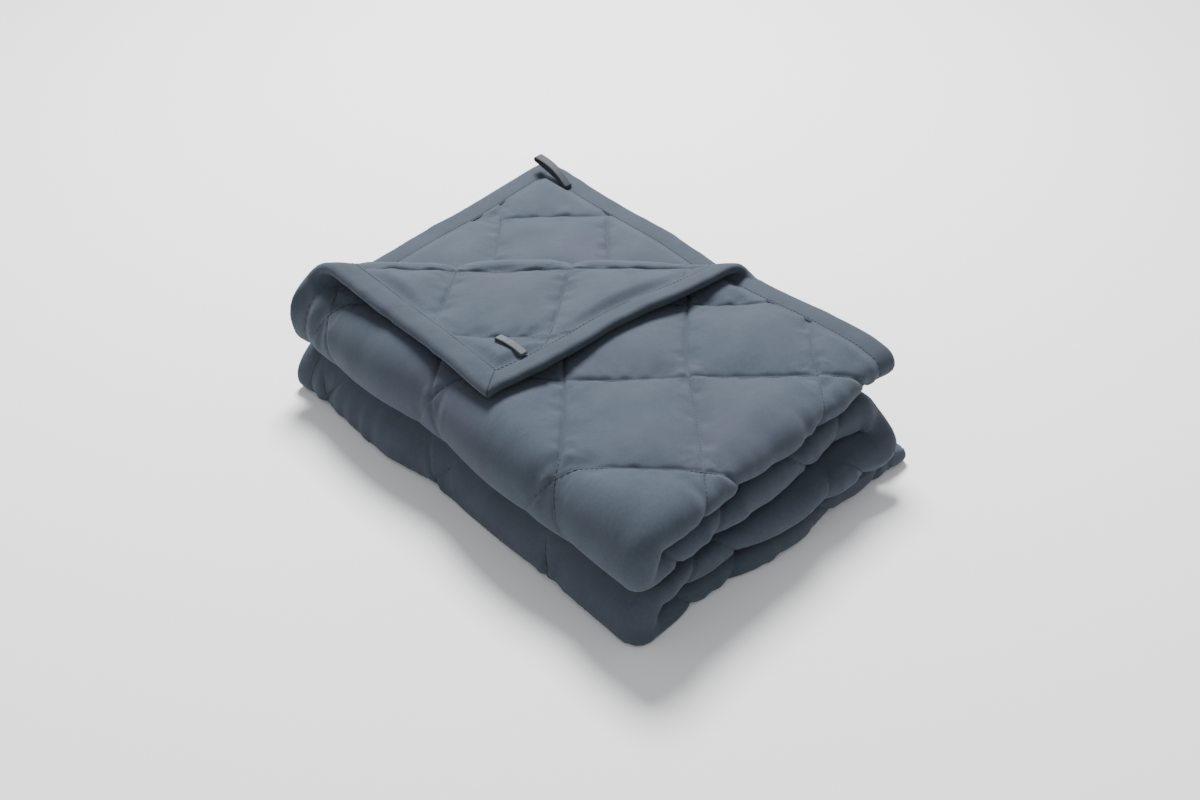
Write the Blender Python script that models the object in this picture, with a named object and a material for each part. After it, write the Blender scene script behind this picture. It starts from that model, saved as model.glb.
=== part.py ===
"""A child-size weighted blanket, quilted in squares and bound all round, folded for storage.

The blanket is first built flat, as its maker sews it: x runs across its width, y along its length,
and n through its thickness, up from the middle of the cloth. Three folds then bend it: one corner
turns back over the top, the length folds in half, and the width folds back and forth in four.
Each fold is a table of straight runs and half turns. The turns are drawn as chords that every layer
shares, so the layers nest without touching.
"""

import math

import bmesh
import bpy
import numpy as np

OBJECT = "weighted_blanket"

# The flat blanket, in metres
WIDTH = 1.220
LENGTH = 0.914
CELL = 0.1092  # side of one quilted square; the squares stand on their corners
CELL_PHASE = (0.0339, 0.0318)  # first seam of each diagonal family, from the corner at x 0, y 0
CELL_THICK = 0.0132
SEAM_THICK = 0.0045
CROWN_SHARE = 0.22  # the part of a square's side that slopes up from the seam to the flat crown

# The binding, a strip folded over the edge and mitred at the corners
BINDING_WIDE = 0.023
BINDING_THICK = 0.0105
BINDING_WALL = 0.0016
BINDING_LIP = 0.0030  # solid cloth at the fold, beyond the quilt's own edge
BINDING_CORNER = (0.0022, 0.0028)  # the cut-off corners of the fold: inwards, and through the thickness
FIT_GAP = 0.0006  # between pieces that are sewn together
MITRE_GAP = 0.75 * FIT_GAP  # each binding's end stands back this far from its mitre
GRIP_EDGE = BINDING_WIDE + 2 * FIT_GAP  # the quilt is pressed flat from its edge to here

# The folds
BEND_CHORDS = 4  # straight facets in each half turn
LAYER_GAP = 0.0009
CHORD_SHARE = math.cos(math.pi / BEND_CHORDS / 2)  # a chord's distance from the middle of its bend
LENGTH_BEND = (CELL_THICK / 2 + LAYER_GAP / 2) / CHORD_SHARE
PAIR_HALF = LENGTH_BEND + CELL_THICK / 2  # half the thickness of the doubled blanket
WIDTH_BEND = (PAIR_HALF + LAYER_GAP / 2) / CHORD_SHARE
TOP_LENGTH = 0.456  # the half of the length that lies above the other
STACK_TOP = PAIR_HALF + 6 * WIDTH_BEND  # height of the middle of the top run

# The turned corner
CORNER_BEND = 0.0080
CORNER_FOLD = 0.2148  # from the corner to the line where the cloth starts to turn
CORNER_SLANT = math.radians(44.2)
CORNER_DRAG = 0.094  # the turned cloth is dragged along its fold line, for each metre past the fold

# One row for each run of the width, from the top of the stack: its length, the turn at its end,
# and its spread and shift along the fold of the length
WIDTH_RUNS = (
    {"run": 0.300, "turn": math.pi, "radius": WIDTH_BEND, "spread": 1.000, "shift": -0.006},
    {"run": 0.253, "turn": -math.pi, "radius": WIDTH_BEND, "spread": 1.000, "shift": -0.004},
    {"run": 0.253, "turn": math.pi, "radius": WIDTH_BEND, "spread": 1.030, "shift": 0.0},
    {"run": 0.268, "turn": 0.0, "radius": WIDTH_BEND, "spread": 1.030, "shift": 0.0},
)

# The two corner loops of ribbon, on the blanket's back. Each leaves the binding at (x, y)
# and lies along (out x, out y), with its rise for each metre along
RIBBON_WIDE = 0.009
RIBBON_THICK = 0.0010
RIBBON_RUN = 0.044
RIBBON_BEND = 0.0022
RIBBON_CHORDS = 6
RIBBON_CLEAR = 0.0012  # between the binding's face and the middle of the ribbon
LOOPS = (
    {"name": "loop_turned_corner", "x": 0.0242, "y": 0.049,
     "out x": 1.0, "out y": 0.0, "rise": 0.10},
    {"name": "loop_back_corner", "x": 0.0242, "y": LENGTH - 0.057,
     "out x": 0.0, "out y": 1.0, "rise": 0.25},
)

COLOURS = {
    "quilt": (0.165, 0.205, 0.262, 1.0),
    "binding": (0.150, 0.188, 0.245, 1.0),
    "loop_turned_corner": (0.30, 0.34, 0.40, 1.0),
    "loop_back_corner": (0.010, 0.014, 0.030, 1.0),
}


def path(rows, chords):
    """Stations of a path of runs and turns: arc length, point, and the mitred step to its left."""
    points, lengths, heading = [np.zeros(2)], [0.0], 0.0
    for row in rows:
        if row["run"]:
            points.append(points[-1] + row["run"] * np.array([math.cos(heading), math.sin(heading)]))
            lengths.append(lengths[-1] + row["run"])
        step = row["turn"] / chords
        for _ in range(chords if step else 0):
            heading += step / 2
            chord = 2 * row["radius"] * math.sin(abs(step) / 2)
            points.append(points[-1] + chord * np.array([math.cos(heading), math.sin(heading)]))
            lengths.append(lengths[-1] + row["radius"] * abs(step))
            heading += step / 2
    points = np.array(points)
    ways = np.diff(points, axis=0)
    ways /= np.linalg.norm(ways, axis=1)[:, None]
    lefts = np.stack([-ways[:, 1], ways[:, 0]], 1)
    before, after = np.vstack([lefts[:1], lefts]), np.vstack([lefts, lefts[-1:]])
    mitres = (before + after) / (1 + (before * after).sum(1))[:, None]
    return {"at": np.array(lengths), "points": points, "mitres": mitres}


def along(line, s, n):
    """The two coordinates of the points at arc length s and distance n to the left of a path."""
    at, points, mitres = line["at"], line["points"], line["mitres"]
    i = np.clip(np.searchsorted(at, s, side="right") - 1, 0, len(at) - 2)
    share = ((s - at[i]) / (at[i + 1] - at[i]))[:, None]
    start = points[i] + n[:, None] * mitres[i]
    end = points[i + 1] + n[:, None] * mitres[i + 1]
    return (start * (1 - share) + end * share).T


REACH = WIDTH + LENGTH
CORNER_PATH = path([
    {"run": REACH - CORNER_FOLD, "turn": math.pi, "radius": CORNER_BEND},
    {"run": REACH, "turn": 0.0, "radius": 1.0},
], BEND_CHORDS)
LENGTH_PATH = path([
    {"run": TOP_LENGTH - math.pi * LENGTH_BEND / 2, "turn": -math.pi, "radius": LENGTH_BEND},
    {"run": LENGTH, "turn": 0.0, "radius": 1.0},
], BEND_CHORDS)
WIDTH_PATH = path(WIDTH_RUNS, BEND_CHORDS)
CORNER_WAY = np.array([math.cos(CORNER_SLANT), math.sin(CORNER_SLANT)])
RUN_ENDS = [at for i, at in enumerate(WIDTH_PATH["at"]) if i % (BEND_CHORDS + 1) < 2]
SPREADS = [row["spread"] for row in WIDTH_RUNS for _ in ("start", "end")]
SHIFTS = [row["shift"] for row in WIDTH_RUNS for _ in ("start", "end")]


def turn_corner(x, y, n):
    """Turns the corner at x 0, y 0 back over the blanket: its new place, and how far each point rises."""
    across = x * CORNER_WAY[0] + y * CORNER_WAY[1]
    beside = -x * CORNER_WAY[1] + y * CORNER_WAY[0]
    travel = REACH - across
    place, height = along(CORNER_PATH, travel, n)
    over = np.maximum(travel - (REACH - CORNER_FOLD) - math.pi * CORNER_BEND, 0.0)
    across = REACH - place
    beside = beside - CORNER_DRAG * over
    x = across * CORNER_WAY[0] - beside * CORNER_WAY[1]
    y = across * CORNER_WAY[1] + beside * CORNER_WAY[0]
    return x, y, height - n, travel > REACH - CORNER_FOLD


def fold(flat):
    """Carries points (x, y, n) of the flat blanket to the folded stack, before it is centred."""
    x, y, rise, turned = turn_corner(*flat.T)
    ahead, n = along(LENGTH_PATH, y, flat[:, 2])
    on_top = np.where(turned, np.minimum(x, WIDTH_RUNS[0]["run"]), x)
    aside, down = along(WIDTH_PATH, on_top, -n - LENGTH_BEND)
    aside = aside + x - on_top
    spread, shift = np.interp(x, RUN_ENDS, SPREADS), np.interp(x, RUN_ENDS, SHIFTS)
    middle = TOP_LENGTH / 2
    ahead = middle + (ahead - middle) * spread + shift
    return np.stack([ahead, -aside, STACK_TOP - down + rise], 1)


def seam_distance(value, phase):
    """Distance to the nearest seam of one diagonal family."""
    part = (value - phase) / CELL
    return np.abs(part - np.round(part)) * CELL


def half_thickness(x, y):
    """Half the quilt's thickness: crowned squares between seams, and flat where the binding grips."""
    rise = CROWN_SHARE * CELL
    up = seam_distance((x + y) / math.sqrt(2), CELL_PHASE[0])
    side = seam_distance((y - x) / math.sqrt(2), CELL_PHASE[1])
    crown = np.clip(np.minimum(up, side) / rise, 0, 1)
    cell = SEAM_THICK / 2 + (CELL_THICK - SEAM_THICK) / 2 * crown
    edge = np.minimum(np.minimum(x, WIDTH - x), np.minimum(y, LENGTH - y))
    grip = BINDING_THICK / 2 - BINDING_WALL - FIT_GAP
    pressed = edge < GRIP_EDGE + FIT_GAP / 5
    return np.where(pressed, np.minimum(cell, grip), cell)


def cut(bm, point, way, clear=False):
    """Cuts the flat mesh along a line through a point; clear removes what lies beyond it."""
    everything = list(bm.verts) + list(bm.edges) + list(bm.faces)
    bmesh.ops.bisect_plane(bm, geom=everything, dist=0.00005, plane_co=(*point, 0.0),
                           plane_no=(*way, 0.0), clear_outer=clear, clear_inner=False)


def cut_bends(bm):
    """Cuts the flat mesh along every line where a fold changes direction."""
    for at in CORNER_PATH["at"][1:-1]:
        cut(bm, CORNER_WAY * (REACH - at), CORNER_WAY)
    for at in LENGTH_PATH["at"][1:-1]:
        cut(bm, (0.0, at), (0.0, 1.0))
    for at in WIDTH_PATH["at"][1:-1]:
        cut(bm, (at, 0.0), (1.0, 0.0))


def diamond_grid():
    """The flat mesh of the quilt, its edges on the seams and on the edges of each square's crown."""
    bm = bmesh.new()
    steps = []
    count = math.ceil(REACH / CELL)
    for k in range(-count, count + 1):
        steps += [k * CELL, (k + CROWN_SHARE) * CELL, (k + 1 - CROWN_SHARE) * CELL]
    ups, sides = np.array(steps) + CELL_PHASE[0], np.array(steps) + CELL_PHASE[1]
    reach = CELL * 1.5
    corners = {}
    for i, up in enumerate(ups):
        for j, side in enumerate(sides):
            x, y = (up - side) / math.sqrt(2), (up + side) / math.sqrt(2)
            if -reach < x < WIDTH + reach and -reach < y < LENGTH + reach:
                corners[i, j] = bm.verts.new((x, y, 0.0))
    for i, j in list(corners):
        square = [corners.get(key) for key in ((i, j), (i, j + 1), (i + 1, j + 1), (i + 1, j))]
        if all(square):
            bm.faces.new(square)
    lip = BINDING_LIP
    for low, way in ((lip, (-1.0, 0.0)), (lip, (0.0, -1.0))):
        cut(bm, (low, low), way, clear=True)
    cut(bm, (WIDTH - lip, 0.0), (1.0, 0.0), clear=True)
    cut(bm, (0.0, LENGTH - lip), (0.0, 1.0), clear=True)
    for x in (GRIP_EDGE, WIDTH - GRIP_EDGE):
        cut(bm, (x, 0.0), (1.0, 0.0))
    for y in (GRIP_EDGE, LENGTH - GRIP_EDGE):
        cut(bm, (0.0, y), (0.0, 1.0))
    return bm


def thicken(bm):
    """Makes the flat mesh into points and faces of a closed slab with the quilt's thickness."""
    bm.verts.index_update()
    bm.verts.ensure_lookup_table()
    flat = np.array([vert.co[:2] for vert in bm.verts])
    half = half_thickness(flat[:, 0], flat[:, 1])
    count = len(flat)
    points = np.vstack([np.column_stack([flat, half]), np.column_stack([flat, -half])])
    faces = []
    for face in bm.faces:
        ring = [vert.index for vert in face.verts]
        if face.normal.z < 0:
            ring.reverse()
        faces.append(ring)
        faces.append([i + count for i in reversed(ring)])
        for a, b in zip(ring, ring[1:] + ring[:1]):
            edge = bm.edges.get((bm.verts[a], bm.verts[b]))
            if edge.is_boundary:
                faces.append([b, a, a + count, b + count])
    return points, faces


def make_object(name, points, faces, colour, parent):
    """Adds one closed solid, folded, with its own material."""
    bm = bmesh.new()
    verts = [bm.verts.new(point) for point in points]
    for face in faces:
        bm.faces.new([verts[i] for i in face])
    bmesh.ops.triangulate(bm, faces=bm.faces)
    bmesh.ops.recalc_face_normals(bm, faces=bm.faces)
    mesh = bpy.data.meshes.new(name)
    bm.to_mesh(mesh)
    bm.free()
    material = bpy.data.materials.new(name + "_cloth")
    material.use_nodes = True
    shader = material.node_tree.nodes["Principled BSDF"]
    shader.inputs["Base Color"].default_value = colour
    shader.inputs["Roughness"].default_value = 0.9
    mesh.materials.append(material)
    thing = bpy.data.objects.new(name, mesh)
    parent.objects.link(thing)
    return thing


def binding_section():
    """The U of the binding as (distance in from the edge, n), counterclockwise."""
    half, wall = BINDING_THICK / 2, BINDING_WALL
    inside = BINDING_LIP - FIT_GAP
    corner_in, corner_up = BINDING_CORNER
    lower = [(BINDING_WIDE, -half), (corner_in, -half), (0.0, -half + corner_up)]
    upper = [(0.0, half - corner_up), (corner_in, half), (BINDING_WIDE, half)]
    hollow = [(BINDING_WIDE, half - wall), (inside, half - wall),
              (inside, wall - half), (BINDING_WIDE, wall - half)]
    return lower + upper + hollow


def binding(start, way, inward, length):
    """One side's binding, flat: a U section with a mitre at each end, cut along the bend lines."""
    start, way, inward = np.array(start), np.array(way), np.array(inward)
    section = binding_section()
    bm = bmesh.new()
    ends = []
    for end in (0, 1):
        ring = []
        for depth, n in section:
            mitre = depth + MITRE_GAP
            at = mitre if end == 0 else length - mitre
            spot = start + way * at + inward * depth
            ring.append(bm.verts.new((*spot, n)))
        ends.append(ring)
    count = len(section)
    for i in range(count):
        k = (i + 1) % count
        bm.faces.new((ends[0][i], ends[0][k], ends[1][k], ends[1][i]))
    for ring in ends:
        bm.faces.new(ring)
    cut_bends(bm)
    bmesh.ops.triangulate(bm, faces=bm.faces)
    bm.verts.index_update()
    points = np.array([vert.co[:] for vert in bm.verts])
    faces = [[vert.index for vert in face.verts] for face in bm.faces]
    bm.free()
    return points, faces


def ribbon(row):
    """A ribbon loop, flat on the blanket's back face: out, round its own end, and back."""
    bend = {"run": RIBBON_RUN, "turn": math.pi, "radius": RIBBON_BEND}
    line = path([bend, {"run": RIBBON_RUN, "turn": 0.0, "radius": 1.0}], RIBBON_CHORDS)
    half = RIBBON_THICK / 2
    outer = line["points"] - half * line["mitres"]
    inner = line["points"] + half * line["mitres"]
    outline = np.vstack([outer, inner[::-1]])
    out = np.array([row["out x"], row["out y"]])
    out /= np.linalg.norm(out)
    side = np.array([-out[1], out[0]])
    base = BINDING_THICK / 2 + RIBBON_CLEAR
    points = []
    for edge in (-RIBBON_WIDE / 2, RIBBON_WIDE / 2):
        for ahead, up in outline:
            spot = np.array([row["x"], row["y"]]) + out * ahead + side * edge
            points.append((*spot, -(base + up + row["rise"] * ahead)))
    count = len(outline)
    faces = []
    stations = len(outer)
    for layer in (0, count):
        for i in range(stations - 1):
            k = count - 1 - i
            faces.append([layer + i, layer + i + 1, layer + k - 1, layer + k])
    for i in range(count):
        k = (i + 1) % count
        faces.append([i, k, k + count, i + count])
    return np.array(points), faces


def build():
    """Builds every piece of the folded blanket in one collection."""
    for thing in list(bpy.data.objects):
        bpy.data.objects.remove(thing, do_unlink=True)
    collection = bpy.data.collections.new(OBJECT)
    bpy.context.scene.collection.children.link(collection)

    grid = diamond_grid()
    cut_bends(grid)
    points, faces = thicken(grid)
    grid.free()
    pieces = [("quilt", points, faces, COLOURS["quilt"])]
    along_x, along_y = (1.0, 0.0), (0.0, 1.0)
    sides = (
        {"name": "binding_head", "start": (0.0, 0.0), "way": along_x,
         "inward": along_y, "length": WIDTH},
        {"name": "binding_foot", "start": (0.0, LENGTH), "way": along_x,
         "inward": (0.0, -1.0), "length": WIDTH},
        {"name": "binding_top_side", "start": (0.0, 0.0), "way": along_y,
         "inward": along_x, "length": LENGTH},
        {"name": "binding_under_side", "start": (WIDTH, 0.0), "way": along_y,
         "inward": (-1.0, 0.0), "length": LENGTH},
    )
    for row in sides:
        points, faces = binding(row["start"], row["way"], row["inward"], row["length"])
        pieces.append((row["name"], points, faces, COLOURS["binding"]))
    for row in LOOPS:
        points, faces = ribbon(row)
        pieces.append((row["name"], points, faces, COLOURS[row["name"]]))

    folded = [fold(points) for _, points, _, _ in pieces]
    low = np.min([points.min(0) for points in folded], axis=0)
    high = np.max([points.max(0) for points in folded], axis=0)
    origin = np.array([(low[0] + high[0]) / 2, (low[1] + high[1]) / 2, low[2]])
    for (name, _, faces, colour), points in zip(pieces, folded):
        make_object(name, points - origin, faces, colour, collection)


build()
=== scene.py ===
"""The looks of the folded weighted blanket.

Every visible piece is made flat first, as it is sewn: x runs across the width, y along the length and
n through the thickness. The same three folds as the frame's then carry it to the folded stack: a corner
turned back, the length folded in half, and the width folded back and forth in four.
"""

import math

import bmesh
import bpy
import numpy as np
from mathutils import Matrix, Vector

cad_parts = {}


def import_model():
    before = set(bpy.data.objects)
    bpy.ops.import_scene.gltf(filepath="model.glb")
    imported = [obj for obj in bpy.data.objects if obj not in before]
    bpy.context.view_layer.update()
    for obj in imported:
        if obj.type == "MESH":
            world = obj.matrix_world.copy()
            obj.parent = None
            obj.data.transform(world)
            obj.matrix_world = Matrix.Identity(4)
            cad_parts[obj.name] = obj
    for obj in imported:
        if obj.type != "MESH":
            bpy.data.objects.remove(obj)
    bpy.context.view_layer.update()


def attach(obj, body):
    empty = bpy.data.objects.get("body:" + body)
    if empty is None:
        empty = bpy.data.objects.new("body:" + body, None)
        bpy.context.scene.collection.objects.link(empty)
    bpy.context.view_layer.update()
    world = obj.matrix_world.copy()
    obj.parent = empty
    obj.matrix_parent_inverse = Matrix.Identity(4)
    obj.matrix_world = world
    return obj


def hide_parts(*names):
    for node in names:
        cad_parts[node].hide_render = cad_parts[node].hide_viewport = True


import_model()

TAU = 2 * math.pi

# ---------------------------------------------------------------- sizes, in metres

WIDTH, LENGTH = 1.220, 0.914
CELL = 0.1092  # side of a quilted square
CELL_PHASE = (0.0339, 0.0318)  # where the two families of seams start
SEAM_HALF = 0.0016  # half the cloth's thickness at a seam
LAYER_HALF = 0.0066  # half a layer where another layer presses on it
FACE_RISE = 0.0082  # the free faces stand this far above their seams
FILL_VARIES = 0.10  # how unevenly the squares are filled
ROLL_FILL = 0.0030  # the seams lie this much higher where the cloth is pulled round a roll
THINNEST = 0.0005
GRIP_GAP = 0.0005  # left between the quilt and the inside of its binding
GRIP_SPAN = (-0.001, 0.012)  # from the binding's inner edge, the quilt thickens over this span
GROOVE, GROOVE_HALF = 0.0010, 0.0016  # the thread draws a narrow groove along each seam
GROOVE_SPAN = (0.006, 0.010)  # which starts over this span from the binding's inner edge
PUCKER, PUCKER_FINE, PUCKER_BROAD = 0.0015, 0.0085, 0.019  # height and sizes of the small gathers
PUCKER_AWAY, PUCKER_HALF, PUCKER_START = 0.0045, 0.0075, 0.003  # and their place beside a seam
SLUMP, SLUMP_SIZE = 0.0008, 0.034  # slow unevenness of the filling
GATHER = 0.0034  # height of the folds across the tight bends
GRID_STEPS = 12  # mesh steps across a square, before the faces that show are split
UNDER_SEEN = 0.36  # how far the under half shows from its corner

STITCH_STEP, STITCH_LONG, STITCH_THICK = 0.0038, 0.0030, 0.00038
STITCH_SUNK = 0.0008
STITCH_INSET = 0.0022  # the binding's stitches lie this far in from its inner edge
STITCH_SIDES = 5

SIM_SCALE = 10.0  # the squares are simulated at this many times their size
SIM_STEPS, SIM_FRAMES = 44, 26
SIM_LIFT, SIM_SEED = 0.004, 17  # small uneven lifts, from which the cloth starts to puff up
SIM_CLOTH = {
    "quality": 7, "mass": 0.3, "tension_stiffness": 22, "compression_stiffness": 22,
    "shear_stiffness": 9, "bending_stiffness": 0.12, "air_damping": 3, "vertex_group_mass": "sewn",
    "shrink_min": -0.055, "use_pressure": True, "uniform_pressure_force": 5.5,
}
SIM_SHARE, PLAIN_SHARE = 0.70, 0.30  # the squares blend the simulated and the plain rounded shape

TURNED_SHIFT = 0.45 * CELL  # the seams on the turned corner lie this far off the even lattice
TURNED_SPAN = (0.2523, 0.6 * CELL)  # where that shift ends, and the length it fades over
UNDER_SHIFT = 0.30 * CELL  # and those of the half of the length that lies below
UNDER_SPAN = (0.50, 0.18)
END_SHIFT = 0.009  # and those beside the length's fold, near the first edge
END_SPAN_Y, END_SPAN_X = (0.28, 0.10), (0.22, 0.12)
WANDER_UP = ((0.0022, 19, 0, 0.7), (0.0011, 47, 0, 2.1))
WANDER_SIDE = ((0.0022, 17, 0, 1.9), (0.0011, 43, 0, 0.3))

BINDING_WIDE = 0.023
BINDING_HALF = 0.0050
BINDING_WALL = 0.0012
BINDING_ROUND = 0.0052  # depth of the strip's round outer edge
BINDING_STEP = 0.0026  # mesh step along the strip
MITRE_HALF_GAP = 0.0004
LIP = 0.0030  # the quilt ends this far inside the blanket's edge
LIP_GAP = 0.0006
RIBBON_HALF = 0.00055  # half a ribbon's thickness
RIBBON_CLOSE = 0.0012  # left between the two ends of a ribbon where they meet the seam

TOP_LENGTH = 0.456
LENGTH_BEND = 0.00763
PAIR_HALF = LENGTH_BEND + LAYER_HALF
WIDTH_BEND = 0.01546
STACK_TOP = PAIR_HALF + 6 * WIDTH_BEND

CORNER_FOLD = 0.2233
CORNER_SLANT = math.radians(47.4)
CORNER_BEND = 0.0085
CORNER_DRAG = 0.270  # the turned cloth slides sideways by this share of its way past the fold
CORNER_STRETCH = 0.88  # the turned cloth is slack, so it reaches only this share of its length
CORNER_OPEN, OPEN_SPAN = 0.0032, (0.02, 0.16)  # its fold is rounder by this much at the front
CORNER_REST = 0.13  # how far past the fold the turned cloth comes down to the layer below
RISE_SLACK = 1.8  # the first roll is wider for cloth that rides above it, by this many times its rise

WIDTH_RUNS = (
    {"run": 0.300, "turn": math.pi, "radius": WIDTH_BEND, "spread": 1.000, "shift": -0.0060},
    {"run": 0.253, "turn": -math.pi, "radius": WIDTH_BEND, "spread": 1.000, "shift": -0.0040},
    {"run": 0.253, "turn": math.pi, "radius": WIDTH_BEND, "spread": 1.030, "shift": 0.0},
    {"run": 0.268, "turn": 0.0, "radius": WIDTH_BEND, "spread": 1.030, "shift": 0.0},
)
BENDS = np.cumsum([0.0] + [row["run"] + math.pi * WIDTH_BEND for row in WIDTH_RUNS[:3]])

# How the stack settles. A span is where a move starts, and the length over which it grows.
FLOOR_EASE = 0.03  # below this height the floor holds the cloth more and more
FAN_Y, FAN_X = (0.55, 0.36), (0.31, 0.31)
FAN_MOVE = (-0.007, 0.012, 0.005)  # the loose back corner moves this far
SLAB_SPAN, BOTTOM_SPAN = (0.045, 0.030), (0.020, 0.014)  # heights where the lower runs' moves fade
SKEW_BACK, SKEW_BOTTOM, SKEW_FRONT, SKEW_EASE = 0.15, 0.09, 0.07, 0.20
BOTTOM_REACH, REACH_SPAN = 0.036, (0.02, 0.11)
ROLL_SAG, ROLL_HELD = 0.018, 0.011
ROLL_SPAN, HELD_SPAN = (0.115, 0.050), (0.080, 0.050)
END_SAG, END_SAG_SPAN = 0.006, (0.185, 0.045)
SWAY_X = ((0.0030, 17, 21, 0.6), (0.0016, 39, -30, 2.0))
SWAY_Y = ((0.0028, 13, 18, 1.1), (0.0016, 31, 26, 0.0))
SWELL, SWELL_FINE = 0.0016, ((0.0009, 33, -21, 0.0),)

CAMERA_AZIMUTH, CAMERA_ELEVATION = math.radians(45.6), math.radians(39.8)
CAMERA_DISTANCE, CAMERA_AIM = 1.20, Vector((0.034, -0.018, 0.060))
CAMERA_SENSOR, CAMERA_LENS = 36.0, 40.2  # in millimetres
FLOOR_SIZE = 6.0
LIGHT_AIM = (0, 0, 0.05)


# ---------------------------------------------------------------- small helpers

def smooth(value):
    value = np.clip(value, 0.0, 1.0)
    return value * value * (3 - 2 * value)


def bell(value):
    return np.exp(-value * value)


def after(value, start, length):
    """0 up to start, rising to 1 over the length that follows."""
    return smooth((value - start) / length)


def before(value, end, length):
    """0 from end on, falling from 1 over the length that leads to it."""
    return smooth((end - value) / length)


def waves(rows, a, b=0.0):
    """A sum of sine waves. A row is a wave's height, its rates along a and b, and its phase."""
    return sum(height * np.sin(a * rate + b * other + phase) for height, rate, other, phase in rows)


def from_edge(x, y):
    """A flat point's distance in from the blanket's nearest edge."""
    return np.minimum(np.minimum(x, WIDTH - x), np.minimum(y, LENGTH - y))


def past_corner(x, y):
    """How far a flat point lies past the corner's fold, towards the corner."""
    return CORNER_FOLD - (x * math.cos(CORNER_SLANT) + y * math.sin(CORNER_SLANT))


def lattice_noise(x, y, scale, seed):
    """Smooth noise between -1 and 1, one random value for each scale of length."""
    rng = np.random.default_rng(seed)
    table = rng.uniform(-1, 1, (64, 64))
    gx, gy = x / scale, y / scale
    ix, iy = np.floor(gx).astype(int), np.floor(gy).astype(int)
    fx, fy = smooth(gx - ix), smooth(gy - iy)
    a, b = table[ix % 64, iy % 64], table[(ix + 1) % 64, iy % 64]
    c, d = table[ix % 64, (iy + 1) % 64], table[(ix + 1) % 64, (iy + 1) % 64]
    return (a * (1 - fx) + b * fx) * (1 - fy) + (c * (1 - fx) + d * fx) * fy


# ---------------------------------------------------------------- the folds

def along(rows, s, n, slack=0.0):
    """Points at arc length s and distance n left of a path of runs and round turns.

    slack widens the first turn's radius for cloth that rides above it.
    """
    u, v = np.zeros_like(s), np.zeros_like(s)
    start, heading, place = 0.0, 0.0, np.zeros(2)
    for row in rows:
        ahead = np.array([math.cos(heading), math.sin(heading)])
        left = np.array([-ahead[1], ahead[0]])
        here = s >= start if start else np.ones_like(s, bool)
        u[here] = (place[0] + (s - start) * ahead[0] + n * left[0])[here]
        v[here] = (place[1] + (s - start) * ahead[1] + n * left[1])[here]
        start += row["run"]
        place = place + row["run"] * ahead
        if not row["turn"]:
            break
        sign, radius = math.copysign(1, row["turn"]), row["radius"]
        centre = place + sign * radius * left
        angle = heading + sign * (s - start) / (radius + slack)
        reach = sign * radius - n
        here = s >= start
        u[here] = (centre[0] + reach * np.sin(angle))[here]
        v[here] = (centre[1] - reach * np.cos(angle))[here]
        heading += row["turn"]
        start += math.pi * radius
        place = centre + sign * radius * left
        slack = 0.0
    return u, v


LENGTH_ROWS = (
    {"run": TOP_LENGTH - math.pi * LENGTH_BEND / 2, "turn": -math.pi, "radius": LENGTH_BEND},
    {"run": LENGTH, "turn": 0.0, "radius": 1.0},
)


def turn_corner(x, y, n):
    """Turns the corner back: each point's new place, its rise, and how far round the fold it lies."""
    ca, sa = math.cos(CORNER_SLANT), math.sin(CORNER_SLANT)
    across, beside = x * ca + y * sa, -x * sa + y * ca
    near_front = after(-beside, *OPEN_SPAN)
    radius = CORNER_BEND + CORNER_OPEN * near_front
    past = CORNER_FOLD - across
    angle = np.clip(past / radius, 0, math.pi)
    over = np.maximum(past - math.pi * radius, 0.0) * CORNER_STRETCH
    turned = past > 0
    place = np.where(turned, CORNER_FOLD - (radius - n) * np.sin(angle) + over, across)
    height = np.where(turned, radius - (radius - n) * np.cos(angle), n)
    height = height - 2 * (radius - CORNER_BEND) * smooth(over / CORNER_REST)
    beside = beside - CORNER_DRAG * over
    lies_over = smooth(past / (math.pi * radius / 2))
    return place * ca - beside * sa, place * sa + beside * ca, height - n, lies_over


def fold(x, y, n):
    """Carries points of the flat blanket to the folded stack, before it is centred."""
    x, y, rise, lies_over = turn_corner(x, y, n)
    ahead, n = along(LENGTH_ROWS, y, n)
    n = n + LENGTH_BEND
    past_roll = lies_over * np.maximum(x - WIDTH_RUNS[0]["run"], 0.0)
    x = x - past_roll
    aside, down = along(WIDTH_RUNS, x, -n - rise, slack=RISE_SLACK * np.maximum(rise, 0.0))
    aside = aside + past_roll
    ends, spreads, shifts, at = [], [], [], 0.0
    for row in WIDTH_RUNS:
        ends += [at, at + row["run"]]
        spreads += [row["spread"]] * 2
        shifts += [row["shift"]] * 2
        at += row["run"] + math.pi * WIDTH_BEND
    middle = TOP_LENGTH / 2
    spread, shift = np.interp(x, ends, spreads), np.interp(x, ends, shifts)
    return np.stack([middle + (ahead - middle) * spread + shift, -aside, STACK_TOP - down], -1)


# ---------------------------------------------------------------- the quilted cloth, flat

def seam_coordinates(x, y):
    """The two diagonal coordinates that the seams follow. Sewing never runs quite straight."""
    up, side = (x + y) / math.sqrt(2), (y - x) / math.sqrt(2)
    turned = before(up, *TURNED_SPAN)
    under = after(y, *UNDER_SPAN)
    near_end = after(y, *END_SPAN_Y) * before(x, *END_SPAN_X) * (1 - under)
    return (up - TURNED_SHIFT * turned + END_SHIFT * near_end + waves(WANDER_UP, side),
            side + UNDER_SHIFT * under + waves(WANDER_SIDE, up))


def from_seams(up, side):
    """The flat point at given seam coordinates, by repeated correction."""
    x, y = (up - side) / math.sqrt(2), (up + side) / math.sqrt(2)
    for _ in range(50):
        here_up, here_side = seam_coordinates(x, y)
        off_up, off_side = 0.45 * (up - here_up), 0.45 * (side - here_side)
        x, y = x + (off_up - off_side) / math.sqrt(2), y + (off_up + off_side) / math.sqrt(2)
    return x, y


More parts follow.
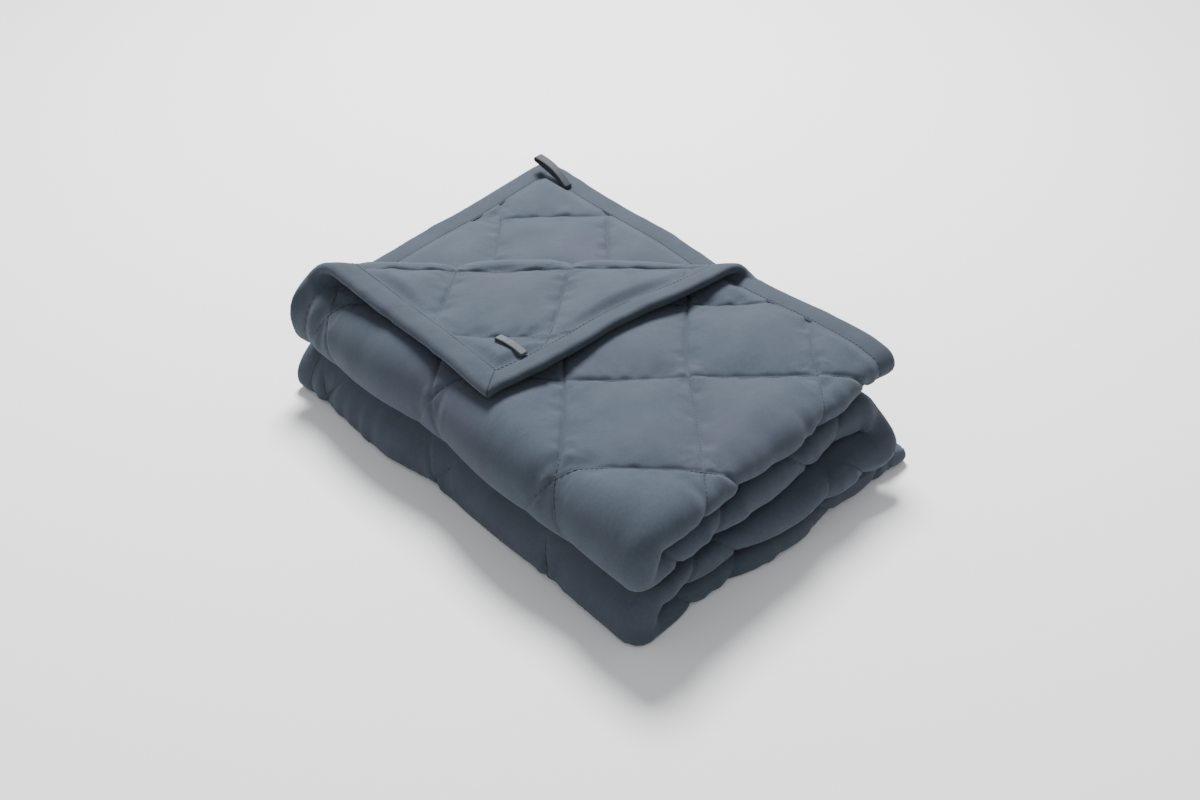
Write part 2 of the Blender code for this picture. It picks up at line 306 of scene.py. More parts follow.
def cell_place(x, y):
    """Which quilted square a point is in, and where in it, from 0 to 1 along both diagonals."""
    up, side = seam_coordinates(x, y)
    up, side = (up - CELL_PHASE[0]) / CELL, (side - CELL_PHASE[1]) / CELL
    i, j = np.floor(up), np.floor(side)
    return i.astype(int), j.astype(int), up - i, side - j


def pillow(a, b):
    """The rounded top of a filled square, 0 at its seams and 1 in the middle."""
    flat = (1 - np.abs(2 * a - 1) ** 2.7) * (1 - np.abs(2 * b - 1) ** 2.7)
    return np.maximum(flat, 0.0) ** 0.56


def puffed_squares():
    """Blows up four sewn squares by cloth simulation; returns each one's heights, 0 to about 1.

    The patch is simulated at ten times its size, held along its seams, with a little more cloth
    than the seams leave room for, so that it gathers beside them.
    """
    steps = SIM_STEPS
    scene = bpy.context.scene
    bpy.ops.mesh.primitive_grid_add(x_subdivisions=2 * steps, y_subdivisions=2 * steps,
                                    size=2 * CELL * SIM_SCALE)
    patch = bpy.context.object
    flat = np.array([vert.co[:] for vert in patch.data.vertices])
    cell = flat[:, :2] / (CELL * SIM_SCALE)
    on_seam = (np.abs(cell - np.round(cell)) < 0.25 / steps).any(1)
    rng = np.random.default_rng(SIM_SEED)
    for vert, lift in zip(patch.data.vertices, rng.uniform(0, SIM_LIFT, len(flat)) * ~on_seam):
        vert.co.z = lift
    sewn = patch.vertex_groups.new(name="sewn")
    sewn.add([int(k) for k in np.nonzero(on_seam)[0]], 1.0, "REPLACE")
    cloth_sim = patch.modifiers.new("puff", "CLOTH")
    for key, value in SIM_CLOTH.items():
        setattr(cloth_sim.settings, key, value)
    cloth_sim.settings.effector_weights.gravity = 0
    cloth_sim.point_cache.frame_start, cloth_sim.point_cache.frame_end = 1, SIM_FRAMES
    for frame_number in range(1, SIM_FRAMES + 1):
        scene.frame_set(frame_number)
    shaped = patch.evaluated_get(bpy.context.evaluated_depsgraph_get()).to_mesh()
    heights = np.array([vert.co.z for vert in shaped.vertices])
    scene.frame_set(1)
    bpy.data.objects.remove(patch, do_unlink=True)
    order = np.lexsort((flat[:, 1], flat[:, 0]))
    heights = heights[order].reshape(2 * steps + 1, 2 * steps + 1)
    heights = np.maximum(heights, 0.0) / np.percentile(heights, 97)
    return [heights[i:i + steps + 1, j:j + steps + 1] for i in (0, steps) for j in (0, steps)]


def puffed(i, j, a, b, side):
    """The height of a square's rounded top at a and b: simulated, and turned by turns."""
    if not RELIEF:
        return pillow(a, b)
    pick = (i * 7 + j * 13 + (5 if side > 0 else 2)) % 8
    a, b = np.where(pick & 1, 1 - a, a), np.where(pick & 2, 1 - b, b)
    a, b = np.where(pick & 4, b, a), np.where(pick & 4, a, b)
    which = (i * 3 + j * 5 + (1 if side > 0 else 0)) % 4
    steps = SIM_STEPS
    ga, gb = np.clip(a, 0, 1) * steps, np.clip(b, 0, 1) * steps
    ia, ib = np.minimum(ga.astype(int), steps - 1), np.minimum(gb.astype(int), steps - 1)
    fa, fb = ga - ia, gb - ib
    table = np.array(RELIEF)
    low = table[which, ia, ib] * (1 - fa) + table[which, ia + 1, ib] * fa
    high = table[which, ia, ib + 1] * (1 - fa) + table[which, ia + 1, ib + 1] * fa
    height = low * (1 - fb) + high * fb
    return PLAIN_SHARE * pillow(a, b) + SIM_SHARE * height


def puckers(x, y, a, b, side):
    """Small gathers that run out from the seams, where the stitches draw the cloth in."""
    up, across = seam_coordinates(x, y)
    total = np.zeros_like(x)
    for run, gap, seed in ((across, a, 11), (up, b, 23)):
        away = np.minimum(gap, 1 - gap) * CELL
        sign = np.where(gap < 0.5, 0.0, 7.3)
        other = up if run is across else across
        row = np.round((other - CELL_PHASE[0 if run is across else 1]) / CELL)
        ripple = lattice_noise(run + sign, row * 0.37 + side * 5.1, PUCKER_FINE, seed)
        ripple = ripple + 0.7 * lattice_noise(run + sign, row * 0.53 + side * 3.7, PUCKER_BROAD, seed + 1)
        total = total + ripple * bell((away - PUCKER_AWAY) / PUCKER_HALF) * smooth(away / PUCKER_START)
    return total


def gathers(x, y):
    """Short folds across the tight bends, where the inner cloth is pushed together."""
    along_x = 0.6 * lattice_noise(x, 0.3 * y, 0.0105, 91) + 0.6 * lattice_noise(x, 0.2 * y, 0.027, 92)
    along_y = 0.6 * lattice_noise(0.3 * x, y, 0.012, 93) + 0.6 * lattice_noise(0.2 * x, y, 0.031, 94)
    end = bell((y - TOP_LENGTH) / 0.024) * smooth(0.5 + 1.4 * lattice_noise(x, y, 0.07, 95))
    low_roll = bell((x - BENDS[3] + 0.024) / 0.022) * smooth((0.20 - y) / 0.12)
    return end * along_x + 1.6 * low_roll * along_y


def roll_band(x, bend):
    """1 on the outer cloth of the roll that ends at bend."""
    return smooth((x - bend + 0.042) / 0.01) * smooth((bend - x - 0.006) / 0.01)


def free_face(x, y, side):
    """1 where a face of the quilt is free to puff up, 0 where another layer presses on it."""
    past = past_corner(x, y)
    if side > 0:
        upper_half = before(y, TOP_LENGTH + 0.006, 0.012)
        top = before(x, BENDS[1] - 0.012, 0.02) * upper_half
        front = roll_band(x, BENDS[3]) * upper_half
        back = roll_band(x, BENDS[2]) * smooth((y - TOP_LENGTH + 0.006) / 0.012)
        end = bell((y - TOP_LENGTH) / 0.010)
        return np.maximum(np.maximum(top, end), np.maximum(front, back)) * smooth(-past / 0.02 + 0.5)
    corner = smooth(past / 0.03)
    under = smooth((UNDER_SEEN - x - (LENGTH - y)) / 0.05) * (y > TOP_LENGTH)
    return np.maximum(corner, under)


def seam_half(x, side):
    """How far a seam lies from the middle: the rolls' outer cloth is pulled straight across it."""
    rolls = bell((x - BENDS[1] + 0.020) / 0.035) + bell((x - BENDS[3] + 0.020) / 0.035)
    return SEAM_HALF + ROLL_FILL * rolls * (side > 0)


def half_thickness(x, y, side):
    """How far one face of the quilt stands from the middle of the cloth."""
    i, j, a, b = cell_place(x, y)
    free = free_face(x, y, side)
    low = seam_half(x, side)
    rise = (LAYER_HALF - low) * (1 - free) + (FACE_RISE - low + SEAM_HALF) * free
    fill = 1 + FILL_VARIES * np.sin(i * 2.1 + j * 1.3 + side)
    top = np.where(free > 0, puffed(i, j, a, b, side), pillow(a, b))
    stand = low + rise * top * np.where(free > 0, 1 + free * (fill - 1), 1)
    stand = stand + free * PUCKER * puckers(x, y, a, b, side)
    stand = stand + free * SLUMP * lattice_noise(x + 3 * side, y, SLUMP_SIZE, 5) * pillow(a, b)
    away = np.minimum(np.minimum(a, 1 - a), np.minimum(b, 1 - b)) * CELL
    edge = from_edge(x, y)
    in_from_strip = edge - BINDING_WIDE
    stand = stand - free * GROOVE * bell(away / GROOVE_HALF) * after(in_from_strip, *GROOVE_SPAN)
    stand = stand + free * GATHER * gathers(x, y) * pillow(a, b)
    stand = np.maximum(stand, THINNEST)
    grip = BINDING_HALF - BINDING_WALL - GRIP_GAP
    inside = after(in_from_strip, *GRIP_SPAN)
    return np.minimum(stand, grip) * (1 - inside) + stand * inside


def stretch(part):
    """Moves grid lines towards the seams at 0 and 1, where the cloth turns most sharply."""
    return part - 0.40 * np.sin(TAU * part) / TAU


def cloth_grid(steps):
    """The flat sheet of the quilt as a bmesh, with grid lines along both families of seams."""
    bm = bmesh.new()
    count = math.ceil((WIDTH + LENGTH) / CELL)
    parts = stretch(np.arange(steps) / steps)
    lines = np.concatenate([(k + parts) * CELL for k in range(-count, count + 1)])
    ups, sides = lines + CELL_PHASE[0], lines + CELL_PHASE[1]
    x, y = from_seams(*np.meshgrid(ups, sides, indexing="ij"))
    reach = CELL * 0.3
    keep = (x > -reach) & (x < WIDTH + reach) & (y > -reach) & (y < LENGTH + reach)
    verts = {}
    for i, j in zip(*np.nonzero(keep)):
        verts[i, j] = bm.verts.new((x[i, j], y[i, j], 0.0))
    for i, j in verts:
        square = [verts.get(key) for key in ((i, j), (i, j + 1), (i + 1, j + 1), (i + 1, j))]
        if None not in square:
            bm.faces.new(square[::-1])
    for point, way in (((LIP, 0), (-1, 0)), ((0, LIP), (0, -1)),
                       ((WIDTH - LIP, 0), (1, 0)), ((0, LENGTH - LIP), (0, 1))):
        everything = bm.verts[:] + bm.edges[:] + bm.faces[:]
        bmesh.ops.bisect_plane(bm, geom=everything, dist=0.00005, plane_co=(*point, 0),
                               plane_no=(*way, 0), clear_outer=True)
    return bm


def seen(x, y, side):
    """How fine the mesh should be: 2 where a face shows, 1 where it shows only from behind."""
    past = past_corner(x, y)
    edge = from_edge(x, y)
    inner = edge > 0.014
    if side > 0:
        top = (x < BENDS[1] + 0.02) & (y < TOP_LENGTH + 0.02) & (past < 0.03)
        front = (x > BENDS[3] - 0.075) & (x < BENDS[3] + 0.015) & (y < TOP_LENGTH + 0.02)
        end = np.abs(y - TOP_LENGTH) < 0.030
        back = (x > BENDS[2] - 0.07) & (x < BENDS[2] + 0.012) & (y > TOP_LENGTH)
        return inner * np.where(top | front | end, 2, np.where(back, 1, 0))
    corner = past > -0.005
    under = (y > TOP_LENGTH) & (x + LENGTH - y < UNDER_SEEN)
    return inner * np.where(corner | under, 2, 0)


def refine(bm, side):
    """Splits the faces that show."""
    for level in (0, 1):
        centres = np.array([face.calc_center_median()[:2] for face in bm.faces])
        fine = seen(centres[:, 0], centres[:, 1], side) > level
        edges = set()
        for face, wanted in zip(bm.faces, fine):
            if wanted and len(face.verts) == 4:
                edges.update(face.edges)
        bmesh.ops.subdivide_edges(bm, edges=list(edges), cuts=1, use_grid_fill=True)


def flat_arrays(bm):
    bm.verts.index_update()
    points = np.array([vert.co[:2] for vert in bm.verts])
    faces = [[vert.index for vert in face.verts] for face in bm.faces]
    return points, faces


def quilt_slab():
    """The closed quilt, flat: points, and faces that turn outwards."""
    points, faces, rims, count = [], [], [], 0
    for side in (1, -1):
        bm = cloth_grid(GRID_STEPS)
        refine(bm, side)
        flat, rings = flat_arrays(bm)
        rim = {}
        for edge in bm.edges:
            if edge.is_boundary:
                loop = edge.link_loops[0]
                a, b = loop.vert, loop.link_loop_next.vert
                rim[tuple(np.round(a.co[:2], 5))] = (a.index + count, b.index + count)
        rims.append(rim)
        half = half_thickness(flat[:, 0], flat[:, 1], side)
        points.append(np.column_stack([flat, side * half]))
        for ring in rings:
            ring = [k + count for k in ring]
            faces.append(ring if side > 0 else ring[::-1])
        count += len(flat)
        bm.free()
    for key, (a, b) in rims[0].items():
        below_a, below_b = rims[1][key]
        faces.append([b, a, below_a, below_b])
    return np.vstack(points), faces


# ---------------------------------------------------------------- the binding, loops and stitches, flat

def loft(rings):
    """Points and faces of a closed tube through rings of equal count."""
    count, width = len(rings), len(rings[0])
    points = np.vstack(rings)
    faces = []
    for i in range(count - 1):
        for j in range(width):
            k = (j + 1) % width
            faces.append([i * width + j, i * width + k, (i + 1) * width + k, (i + 1) * width + j])
    faces.append(list(range(width))[::-1])
    faces.append([(count - 1) * width + j for j in range(width)])
    return points, faces


def binding_section():
    """The folded strip in section, as (distance in from the edge, n): outside, then inside."""
    half, wide, wall = BINDING_HALF, BINDING_WIDE, BINDING_WALL
    outside = []
    for t in np.linspace(-1, 1, 25):
        depth = wide * abs(t) ** 1.35
        swell = half * (1 - 0.42 * (depth / wide) ** 3.0)
        part = min(depth / BINDING_ROUND, 1.0)
        outside.append((depth, math.copysign(swell * math.sqrt(part * (2 - part)), t)))
    above = [(wide, half * 0.58 - wall * 0.8), (wide * 0.6, half - wall * 1.25),
             (LIP - LIP_GAP, half - wall * 1.6)]
    return outside + above + [(depth, -n) for depth, n in above[::-1]]


def binding(row):
    """One side's binding with its mitred ends, and the small gathers along it."""
    start, way = np.array(row["start"]), np.array(row["way"])
    inward = np.array(row["inward"])
    section = binding_section()
    count = int(row["length"] / BINDING_STEP)
    rings = []
    for k in range(count + 1):
        ring = []
        for depth, n in section:
            first, last = depth + MITRE_HALF_GAP, row["length"] - depth - MITRE_HALF_GAP
            at = first + (last - first) * k / count
            ring.append((at, depth, n))
        rings.append(ring)
    rings = np.array(rings)
    at, depth, n = rings[..., 0], rings[..., 1], rings[..., 2]
    seed = row["seed"]
    body = bell((depth - 0.011) / 0.009)
    ripple = (lattice_noise(at, depth * 0.35, 0.0075, seed) * 0.5
              + lattice_noise(at, depth * 0.2, 0.021, seed + 1))
    n = n * (1 + 0.10 * ripple * body + 0.06 * lattice_noise(at, n, 0.06, seed + 2))
    wander = (0.0009 * lattice_noise(at, 0 * at, 0.05, seed + 3)
              + 0.0005 * lattice_noise(at, 0 * at, 0.013, seed + 4))
    ends = smooth(np.minimum(at, row["length"] - at) / 0.03)
    depth = depth + wander * ends
    spot = start + at[..., None] * way + depth[..., None] * inward
    points = np.concatenate([spot, n[..., None]], -1)
    return loft(list(points))


SIDES = (
    {"name": "binding_head", "start": (0, 0), "way": (1, 0), "inward": (0, 1),
     "length": WIDTH, "seed": 31},
    {"name": "binding_foot", "start": (0, LENGTH), "way": (1, 0), "inward": (0, -1),
     "length": WIDTH, "seed": 41},
    {"name": "binding_top_side", "start": (0, 0), "way": (0, 1), "inward": (1, 0),
     "length": LENGTH, "seed": 51},
    {"name": "binding_under_side", "start": (WIDTH, 0), "way": (0, 1), "inward": (-1, 0),
     "length": LENGTH, "seed": 61},
)


def ribbon(row):
    """A ribbon loop on the blanket's back: out, round its own end, and back to the seam."""
    run, bend = row["run"], row["bend"]
    out = np.array(row["out"], float)
    out /= np.linalg.norm(out)
    side = np.array([-out[1], out[0]])
    line = []
    for t in np.linspace(0, 1, 26):
        up = row["base"] + row["rise"] * run * t + row["bow"] * math.sin(math.pi * t) * 0.3
        line.append((run * t, up))
    end = line[-1]
    for t in np.linspace(0, math.pi, 13)[1:]:
        line.append((end[0] + bend * math.sin(t), end[1] + bend * (1 - math.cos(t))))
    end = line[-1]
    for t in np.linspace(0, 1, 26)[1:]:
        up = end[1] - row["rise"] * run * t + row["bow"] * math.sin(math.pi * t)
        up -= (2 * bend - RIBBON_CLOSE) * t ** 3
        line.append((end[0] - run * t, up))
    line = np.array(line)
    way = np.gradient(line, axis=0)
    way /= np.linalg.norm(way, axis=1)[:, None]
    left = np.stack([-way[:, 1], way[:, 0]], 1)
    half, thick = row["wide"] / 2, RIBBON_HALF
    section = [(-half, -thick), (-half * 0.6, -thick * 1.1), (half * 0.6, -thick * 1.1), (half, -thick),
               (half, thick), (half * 0.6, thick * 1.1), (-half * 0.6, thick * 1.1), (-half, thick)]
    rings = []
    for (ahead, up), (la, lu) in zip(line, left):
        ring = []
        for across, off in section:
            skew = row["skew"] * ahead / run
            spot = np.array([row["x"], row["y"]]) + out * (ahead + la * off) + side * (across + skew * 0.001)
            ring.append((*spot, -(up + lu * off)))
        rings.append(ring)
    return loft(np.array(rings))


LOOPS = (
    {"name": "loop_turned_corner", "x": 0.0215, "y": 0.048, "out": (1.0, -0.12), "run": 0.035,
     "wide": 0.0065, "bend": 0.0016, "base": 0.0054, "rise": 0.02, "bow": 0.0012, "skew": 0.6},
    {"name": "loop_back_corner", "x": 0.0215, "y": LENGTH - 0.057, "out": (0.0, 1.0), "run": 0.046,
     "wide": 0.0085, "bend": 0.0024, "base": 0.0056, "rise": 0.25, "bow": 0.0030, "skew": -1.0},
)


def stitch_lines():
    """Places along the sewn lines that show: flat point, direction along the seam, face."""
    spots = []
    count = math.ceil((WIDTH + LENGTH) / CELL)
    steps = np.arange(0.5 * STITCH_STEP, (WIDTH + LENGTH), STITCH_STEP)
    aside = WIDTH / math.sqrt(2)
    for k in range(-count, count + 1):
        for family in (0, 1):
            fixed = np.full_like(steps, k * CELL + CELL_PHASE[family])
            ends = []
            for ahead in (0.0, 0.001):
                run = steps - aside + ahead if family == 0 else steps + ahead
                ends.append(from_seams(fixed, run) if family == 0 else from_seams(run, fixed))
            (x, y), (ax, ay) = ends
            spots.append(np.stack([x, y, ax - x, ay - y], 1))
    spots = np.vstack(spots)
    margin = BINDING_WIDE + 0.002
    inside = (spots[:, 0] > margin) & (spots[:, 0] < WIDTH - margin)
    inside &= (spots[:, 1] > margin) & (spots[:, 1] < LENGTH - margin)
    return spots[inside]


def edge_stitches():
    """Places of the stitches that hold the binding, just inside its edge."""
    spots = []
    inset = BINDING_WIDE - STITCH_INSET
    for row in SIDES:
        start, way, inward = (np.array(row[key], float) for key in ("start", "way", "inward"))
        at = np.arange(BINDING_WIDE, row["length"] - BINDING_WIDE, STITCH_STEP)
        here = start + at[:, None] * way + inset * inward
        spots.append(np.hstack([here, np.tile(way, (len(at), 1))]))
    return np.vstack(spots)


def stitches():
    """Every visible stitch as a short thread that dips into the cloth at both ends."""
    sewn, edges = stitch_lines(), edge_stitches()
    heights = np.concatenate([np.full(len(sewn), SEAM_HALF), np.full(len(edges), BINDING_HALF * 0.70)])
    spots = np.column_stack([np.vstack([sewn, edges]), heights])
    points, faces = [], []
    around = np.linspace(0, TAU, STITCH_SIDES + 1)[:-1]
    for side in (1, -1):
        wanted = seen(spots[:, 0], spots[:, 1], side) == 2
        wanted &= free_face(spots[:, 0], spots[:, 1], side) > 0.5
        for x, y, wx, wy, base in spots[wanted]:
            sunk = STITCH_SUNK if base == SEAM_HALF else 0.0
            base += (seam_half(x, side) - SEAM_HALF) * (base == SEAM_HALF)
            way = np.array([wx, wy]) / math.hypot(wx, wy)
            across = np.array([-way[1], way[0]])
            start = len(points)
            for t in (-1.0, -0.45, 0.45, 1.0):
                thin = STITCH_THICK * (0.55 if abs(t) == 1 else 1.0)
                height = base - sunk + STITCH_THICK * (0.75 - 1.5 * t * t)
                middle = np.array([x, y]) + way * t * STITCH_LONG / 2
                for angle in around:
                    spot = middle + across * thin * math.cos(angle)
                    points.append((*spot, side * (height + thin * math.sin(angle))))
            rings = [[start + STITCH_SIDES * ring + k for k in range(STITCH_SIDES)] for ring in range(4)]
            for low, high in zip(rings, rings[1:]):
                for k in range(STITCH_SIDES):
                    beside = (k + 1) % STITCH_SIDES
                    faces.append([low[k], low[beside], high[beside], high[k]])
            faces += [rings[0][::-1], rings[3]]
    return np.array(points), faces


def fold_points(points):
    points = np.asarray(points, float)
    return fold(points[:, 0], points[:, 1], points[:, 2])


# ---------------------------------------------------------------- the settled stack

def lower(z, depth):
    """Heights brought down by depth, easing to the floor without passing it."""
    low = z - depth
    return (low + np.sqrt(low * low + (depth / 4) ** 2)) / 2


def settle(points, flat):
    """The stack's own weight: its rolls sag to the floor and its loose back corner fans out."""
    x, y, z = points.T
    high = smooth(z / FLOOR_EASE)
    fan = after(flat[:, 1], *FAN_Y) * before(flat[:, 0], *FAN_X)
    slab = 1 - after(z, *SLAB_SPAN)
    bottom = 1 - after(z, *BOTTOM_SPAN)
    skew = np.where(y > 0, SKEW_BACK - SKEW_BOTTOM * bottom, SKEW_FRONT) * y
    skew = skew * smooth(x / SKEW_EASE) * slab
    reach = BOTTOM_REACH * bottom * after(y, *REACH_SPAN)
    roll = after(-y, *ROLL_SPAN) * (ROLL_SAG - ROLL_HELD * after(z, *HELD_SPAN))
    end = END_SAG * after(x, *END_SAG_SPAN)
    dx, dy = waves(SWAY_X, y, z), waves(SWAY_Y, x, z)
    dz = (SWELL * np.sin(x * 15 + 1.9) * np.cos(y * 12 + 0.4) + waves(SWELL_FINE, x, y)) * high
    x = x + dx * high + FAN_MOVE[0] * fan + skew
    y = y + dy * high + FAN_MOVE[1] * fan + reach
    z = lower(z, np.maximum(roll, end)) + dz + FAN_MOVE[2] * fan
    return np.stack([x, y, np.maximum(z, 0.0)], 1)


def add_mesh(name, points, faces, material):
    mesh = bpy.data.meshes.new(name)
    mesh.from_pydata([tuple(point) for point in points], [], faces)
    mesh.validate()
    mesh.materials.append(material)
    mesh.shade_smooth()
    thing = bpy.data.objects.new(name, mesh)
    bpy.context.scene.collection.objects.link(thing)
    return thing


# ---------------------------------------------------------------- materials

class Nodes:
    """Short hands for building one material's node tree."""

    def __init__(self, name):
        self.material = bpy.data.materials.new(name)
        self.material.use_nodes = True
        self.tree = self.material.node_tree
        self.shader = self.tree.nodes["Principled BSDF"]
        flat = self.add("ShaderNodeUVMap", uv_map="flat")
        self.flat = flat.outputs["UV"]

    def add(self, kind, **settings):
        node = self.tree.nodes.new(kind)
        for key, value in settings.items():
            setattr(node, key, value)
        return node

    def link(self, source, target):
        self.tree.links.new(source, target)

    def feed(self, socket, value):
        if isinstance(value, bpy.types.NodeSocket):
            self.link(value, socket)
        else:
            socket.default_value = value

    def math(self, operation, *values):
        node = self.add("ShaderNodeMath", operation=operation)
        for socket, value in zip(node.inputs, values):
            self.feed(socket, value)
        return node.outputs[0]

    def noise(self, scale, detail=2.0, rough=0.5, stretch=(1, 1, 1), turn=0.0):
        place = self.add("ShaderNodeMapping")
        place.inputs["Scale"].default_value = stretch
        place.inputs["Rotation"].default_value = (0, 0, turn)
        self.link(self.flat, place.inputs["Vector"])
        node = self.add("ShaderNodeTexNoise")
        self.link(place.outputs[0], node.inputs["Vector"])
        node.inputs["Scale"].default_value = scale
        node.inputs["Detail"].default_value = detail
        node.inputs["Roughness"].default_value = rough
        return node.outputs["Fac"]

    def ramp(self, value, low, high, to_low=0.0, to_high=1.0):
        node = self.add("ShaderNodeMapRange")
        self.feed(node.inputs["Value"], value)
        for key, number in (("From Min", low), ("From Max", high), ("To Min", to_low), ("To Max", to_high)):
            node.inputs[key].default_value = number
        return node.outputs["Result"]

    def mix(self, factor, a, b, blend="MIX"):
        node = self.add("ShaderNodeMix", data_type="RGBA", blend_type=blend)
        self.feed(node.inputs[0], factor)
        self.feed(node.inputs[6], a)
        self.feed(node.inputs[7], b)
        return node.outputs[2]

    def bump(self, height, distance, strength=1.0, under=None):
        node = self.add("ShaderNodeBump")
        node.inputs["Distance"].default_value = distance
        node.inputs["Strength"].default_value = strength
        self.link(height, node.inputs["Height"])
        if under is not None:
            self.link(under, node.inputs["Normal"])
        return node.outputs["Normal"]


THREAD = 0.00062  # spacing of the weave's threads


def weave(made, turn=0.0):
    """A plain weave: warp and weft threads that pass over each other by turns."""
    place = made.add("ShaderNodeMapping")
    place.inputs["Scale"].default_value = (1 / THREAD, 1 / THREAD, 1)
    place.inputs["Rotation"].default_value = (0, 0, turn)
    made.link(made.flat, place.inputs["Vector"])
    parts = made.add("ShaderNodeSeparateXYZ")
    made.link(place.outputs[0], parts.inputs[0])
    warp = made.math("SINE", made.math("MULTIPLY", parts.outputs["X"], math.pi))
    weft = made.math("SINE", made.math("MULTIPLY", parts.outputs["Y"], math.pi))
    cross = made.math("MULTIPLY", warp, weft)
    ridge_x = made.math("ABSOLUTE", warp)
    ridge_y = made.math("ABSOLUTE", weft)
    over = made.math("GREATER_THAN", cross, 0.0)
    first = made.math("MULTIPLY", ridge_x, over)
    second = made.math("MULTIPLY", ridge_y, made.math("SUBTRACT", 1.0, over))
    return made.math("ADD", first, second)


def cloth(name, dark, light, violet, turn=0.0):
    """Brushed microfibre: plain weave, a short nap, heathered slate blue with faint violet patches."""
    made = Nodes(name)
    heather = made.noise(900, 3.0, 0.6, stretch=(1, 0.35, 1), turn=turn)
    heather_cross = made.noise(900, 3.0, 0.6, stretch=(0.35, 1, 1), turn=turn)
    mottle = made.noise(26, 4.0, 0.55)
    patch = made.noise(7.5, 2.0, 0.5)
    fine = made.math("ADD", made.math("MULTIPLY", heather, 0.5),
                     made.math("MULTIPLY", heather_cross, 0.5))
    tone = made.math("ADD", made.ramp(fine, 0.35, 0.65, -0.22, 0.22),
                     made.ramp(mottle, 0.3, 0.7, 0.15, 0.85))
    colour = made.mix(made.math("MINIMUM", made.math("MAXIMUM", tone, 0.0), 1.0), dark, light)
    colour = made.mix(made.ramp(patch, 0.48, 0.70, 0.0, 0.45), colour, violet)
    made.link(colour, made.shader.inputs["Base Color"])
    nap = made.noise(1500, 4.0, 0.65)
    made.link(made.ramp(nap, 0.3, 0.7, 0.80, 0.95), made.shader.inputs["Roughness"])
    made.shader.inputs["Specular IOR Level"].default_value = 0.25
    made.shader.inputs["Sheen Weight"].default_value = 0.12
    made.shader.inputs["Sheen Roughness"].default_value = 0.45
    made.shader.inputs["Sheen Tint"].default_value = (0.72, 0.80, 0.95, 1.0)
    soft = made.bump(made.noise(170, 3.0, 0.55), 0.00035, 0.8)
    threads = made.bump(weave(made, turn), 0.00012, 0.55, under=soft)
    fuzz = made.bump(nap, 0.00012, 0.5, under=threads)
    made.link(fuzz, made.shader.inputs["Normal"])
    return made.material


def thread_material():
    made = Nodes("stitch_thread")
    twist = made.noise(1200, 2.0, 0.5)
    made.link(made.mix(made.ramp(twist, 0.3, 0.7), (0.014, 0.019, 0.028, 1), (0.027, 0.034, 0.046, 1)),
              made.shader.inputs["Base Color"])
    made.shader.inputs["Roughness"].default_value = 0.6
    made.link(made.bump(twist, 0.0001, 0.5), made.shader.inputs["Normal"])
    return made.material


def ribbon_material(name, dark, light):
    """A narrow grosgrain ribbon: ribs across it and a firmer edge."""
    made = Nodes(name)
    parts = made.add("ShaderNodeSeparateXYZ")
    made.link(made.flat, parts.inputs[0])
    ribs = made.math("SINE", made.math("MULTIPLY", parts.outputs["X"], TAU / 0.0011))
    wear = made.noise(140, 3.0, 0.6)
    made.link(made.mix(made.ramp(wear, 0.35, 0.7), dark, light), made.shader.inputs["Base Color"])
    made.shader.inputs["Roughness"].default_value = 0.62
    made.shader.inputs["Sheen Weight"].default_value = 0.15
    ribbed = made.bump(ribs, 0.00012, 0.8)
    made.link(made.bump(wear, 0.0001, 0.4, under=ribbed), made.shader.inputs["Normal"])
    return made.material


def floor_material():
    made = Nodes("pale_floor")
    made.link(made.mix(made.noise(3.0, 2.0, 0.5), (0.80, 0.80, 0.80, 1), (0.83, 0.83, 0.83, 1)),
              made.shader.inputs["Base Color"])
    made.shader.inputs["Roughness"].default_value = 0.9
    return made.material


def lay_flat_map(thing, flat):
    """Keeps the flat cloth's own coordinates, in metres, for the weave to follow."""
    mesh = thing.data
    layer = mesh.uv_layers.new(name="flat")
    index = np.empty(len(mesh.loops), int)
    mesh.loops.foreach_get("vertex_index", index)
    layer.data.foreach_set("uv", np.asarray(flat, float)[index, :2].ravel())


# ---------------------------------------------------------------- making the pieces

def face_outwards(thing):
    bm = bmesh.new()
    bm.from_mesh(thing.data)
    bmesh.ops.recalc_face_normals(bm, faces=bm.faces)
    bm.to_mesh(thing.data)
    bm.free()


RELIEF = puffed_squares()
quilt_flat, quilt_faces = quilt_slab()
flats = {"quilt_cloth": (quilt_flat, quilt_faces)}
for row in SIDES:
    flats[row["name"] + "_cloth"] = binding(row)
for row in LOOPS:
    flats[row["name"] + "_ribbon"] = ribbon(row)
flats["quilt_stitches"] = stitches()

folded = {name: fold_points(points) for name, (points, faces) in flats.items()}
lows = np.min([points.min(0) for points in folded.values()], axis=0)
highs = np.max([points.max(0) for points in folded.values()], axis=0)
CENTRE = np.array([(lows[0] + highs[0]) / 2, (lows[1] + highs[1]) / 2, 0.0])

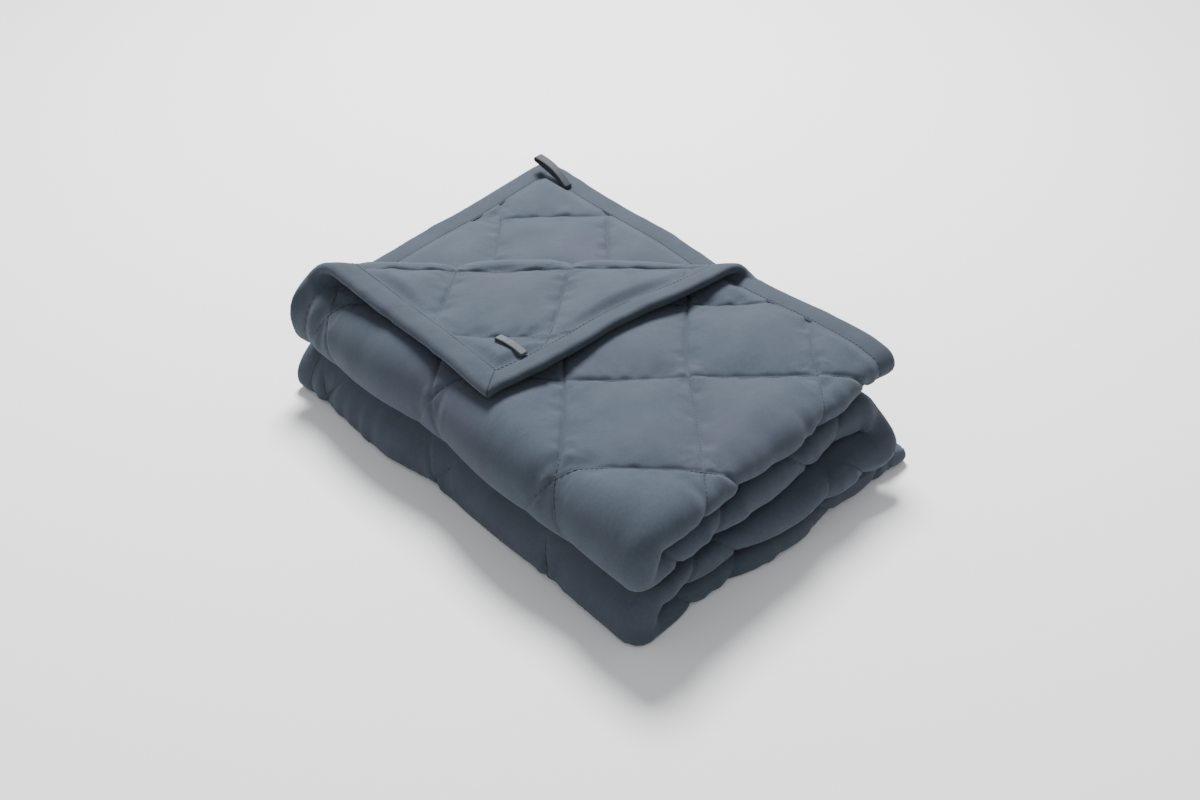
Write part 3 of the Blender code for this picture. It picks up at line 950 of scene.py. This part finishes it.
SLATE = cloth("slate_cloth", (0.032, 0.043, 0.058, 1), (0.049, 0.063, 0.081, 1),
              (0.048, 0.052, 0.074, 1))
EDGE = cloth("slate_binding", (0.028, 0.038, 0.051, 1), (0.043, 0.055, 0.071, 1),
             (0.042, 0.046, 0.065, 1), turn=math.pi / 4)
# The loop on the turned corner gets a lighter, greyer copy of the navy ribbon's colour: painted light,
# standing in for the light that falls on that loop.
PAINTED_LIT_RIBBON = ribbon_material("grey_ribbon", (0.034, 0.042, 0.054, 1), (0.052, 0.062, 0.076, 1))
NAVY = ribbon_material("navy_ribbon", (0.006, 0.009, 0.018, 1), (0.014, 0.019, 0.034, 1))
THREADS = thread_material()
MADE_OF = {"quilt_cloth": SLATE, "quilt_stitches": THREADS,
           "loop_turned_corner_ribbon": PAINTED_LIT_RIBBON, "loop_back_corner_ribbon": NAVY}

pieces = {}
for name, (flat, faces) in flats.items():
    points = settle(folded[name] - CENTRE, flat)
    thing = add_mesh(name, points, faces, MADE_OF.get(name, EDGE))
    lay_flat_map(thing, flat)
    face_outwards(thing)
    pieces[name] = thing

for name, thing in pieces.items():
    node = name.rsplit("_", 1)[0]
    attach(thing, "root")
    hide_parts(node)
    if node == "quilt":
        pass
    elif "loop" in name:
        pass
    else:
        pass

# ---------------------------------------------------------------- floor, lights and camera

bpy.ops.mesh.primitive_grid_add(x_subdivisions=8, y_subdivisions=8, size=FLOOR_SIZE, location=(0, 0, 0))
floor = bpy.context.object
floor.name = "floor"
floor.data.materials.append(floor_material())


def area_light(name, place, size, power):
    light = bpy.data.lights.new(name, "AREA")
    light.shape = "DISK"
    light.size = size
    light.energy = power
    thing = bpy.data.objects.new(name, light)
    thing.location = place
    thing.rotation_mode = "QUATERNION"
    thing.rotation_quaternion = (Vector(LIGHT_AIM) - Vector(place)).to_track_quat("-Z", "Y")
    bpy.context.scene.collection.objects.link(thing)


area_light("key", place=(-0.80, 0.70, 1.75), size=0.70, power=122)
area_light("fill", place=(0.9, -1.5, 1.3), size=1.6, power=5)

world = bpy.data.worlds.new("soft_room")
world.use_nodes = True
world.node_tree.nodes["Background"].inputs["Color"].default_value = (0.95, 0.97, 1.0, 1)
world.node_tree.nodes["Background"].inputs["Strength"].default_value = 0.66
bpy.context.scene.world = world

level = math.cos(CAMERA_ELEVATION)
back = Vector((math.sin(CAMERA_AZIMUTH) * level, -math.cos(CAMERA_AZIMUTH) * level,
               math.sin(CAMERA_ELEVATION)))
lens = bpy.data.cameras.new("camera")
lens.sensor_width = CAMERA_SENSOR
lens.lens = CAMERA_LENS
camera = bpy.data.objects.new("camera", lens)
camera.location = CAMERA_AIM + back * CAMERA_DISTANCE
camera.rotation_mode = "QUATERNION"
camera.rotation_quaternion = (-back).to_track_quat("-Z", "Y")
bpy.context.scene.collection.objects.link(camera)
bpy.context.scene.camera = camera
